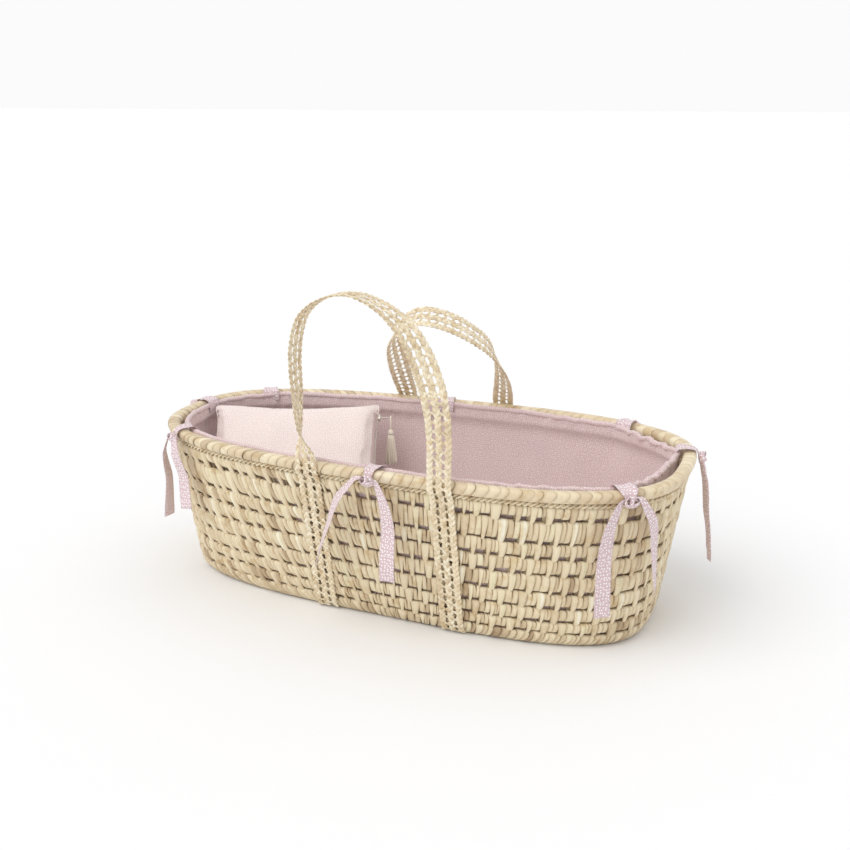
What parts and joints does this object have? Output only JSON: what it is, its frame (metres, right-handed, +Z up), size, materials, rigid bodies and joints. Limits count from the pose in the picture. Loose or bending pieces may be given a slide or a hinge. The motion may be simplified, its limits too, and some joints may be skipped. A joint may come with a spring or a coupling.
{
  "type": "moses basket",
  "caption": "Coiled palm-leaf moses basket with two braided carrying handles, a tied-in cotton liner, a mattress and a cushion with a tasselled zip.",
  "frame": {"origin": "the floor under the middle of the base", "axes": "+X along the basket towards its wider end, -Y towards the side whose handle stands upright, +Z up"},
  "size_m": [0.8614, 0.443, 0.498],
  "materials": {
    "palm_strip": "dry split palm leaf, pale straw, strip by strip variation",
    "palm_stalk": "bundled palm stalks",
    "palm_cord": "twisted palm cord",
    "palm_braid": "openwork palm-leaf braid",
    "liner_cotton": "dusty mauve cotton with small cream dots, lightly quilted",
    "tie_cotton": "dusty mauve cotton ribbon with cream dots",
    "cushion_cotton": "dusty mauve cotton, dense cream dots",
    "cushion_wadding": "polyester wadding",
    "sheet_cotton": "dusty mauve cotton sheet with cream dots",
    "mattress_foam": "polyether foam",
    "zip_tape": "woven tape with a nylon coil",
    "zip_metal": "small plated slider",
    "tassel_yarn": "cream cotton yarn"
  },
  "bodies": {
    "basket": {"base_mat": "palm_strip", "wall_row_1": "palm_strip", "wall_row_2": "palm_strip", "wall_row_3": "palm_strip", "wall_row_4": "palm_strip", "wall_row_5": "palm_strip", "wall_row_6": "palm_strip", "wall_row_7": "palm_strip", "wall_row_8": "palm_strip", "wall_row_9": "palm_strip", "row_core_1": "palm_stalk", "row_core_2": "palm_stalk", "row_core_3": "palm_stalk", "row_core_4": "palm_stalk", "row_core_5": "palm_stalk", "row_core_6": "palm_stalk", "row_core_7": "palm_stalk", "row_core_8": "palm_stalk", "row_core_9": "palm_stalk", "rim_lashing": "palm_cord", "rim_roll": "palm_strip", "rim_core": "palm_stalk", "strap_front_left": "palm_braid", "strap_front_right": "palm_braid", "strap_rear_left": "palm_braid", "strap_rear_right": "palm_braid", "strap_under_left": "palm_braid", "strap_under_right": "palm_braid", "liner_floor": "liner_cotton", "liner_wall": "liner_cotton", "liner_hem": "liner_cotton", "tie_front_left": "tie_cotton", "tie_front_middle": "tie_cotton", "tie_front_right": "tie_cotton", "tie_wide_end": "tie_cotton", "tie_rear_right": "tie_cotton", "tie_rear_middle": "tie_cotton", "tie_rear_left": "tie_cotton", "tie_narrow_end": "tie_cotton"},
    "handle_front": {"handle_front": "palm_braid"},
    "handle_rear": {"handle_rear": "palm_braid"},
    "mattress": {"mattress_cover": "sheet_cotton", "mattress_core": "mattress_foam"},
    "cushion": {"cushion_cover": "cushion_cotton", "cushion_fill": "cushion_wadding", "zip_tape": "zip_tape"},
    "zip_slider": {"zip_slider": "zip_metal"},
    "tassel": {"tassel_loop": "tassel_yarn", "tassel_head": "tassel_yarn", "tassel_skirt": "tassel_yarn"}
  },
  "joints": [
    {"name": "front_handle_swing", "type": "hinge", "parent": "basket", "child": "handle_front", "pos_m": [0.015, -0.20643, 0.25], "axis": [0.9995, -0.0326, 0], "range_deg": [-48, 135]},
    {"name": "rear_handle_swing", "type": "hinge", "parent": "basket", "child": "handle_rear", "pos_m": [-0.0195, 0.20566, 0.25], "axis": [-0.999, -0.0444, 0], "range_deg": [-3, 180]},
    {"name": "mattress_lift", "type": "slide", "parent": "basket", "child": "mattress", "axis": [-0.1191, 0, 0.9929], "range_m": [0, 0.2]},
    {"name": "cushion_lift", "type": "slide", "parent": "mattress", "child": "cushion", "axis": [-0.1191, 0, 0.9929], "range_m": [0, 0.25]},
    {"name": "zip_slide", "type": "slide", "parent": "cushion", "child": "zip_slider", "axis": [0.3031, -0.7501, -0.5878], "range_m": [0, 0.13]},
    {"name": "tassel_swing", "type": "hinge", "parent": "zip_slider", "child": "tassel", "pos_m": [-0.10274, 0.1223, 0.22654], "axis": [0.9272, 0.3746, 0], "range_deg": [-50, 12]}
  ]
}
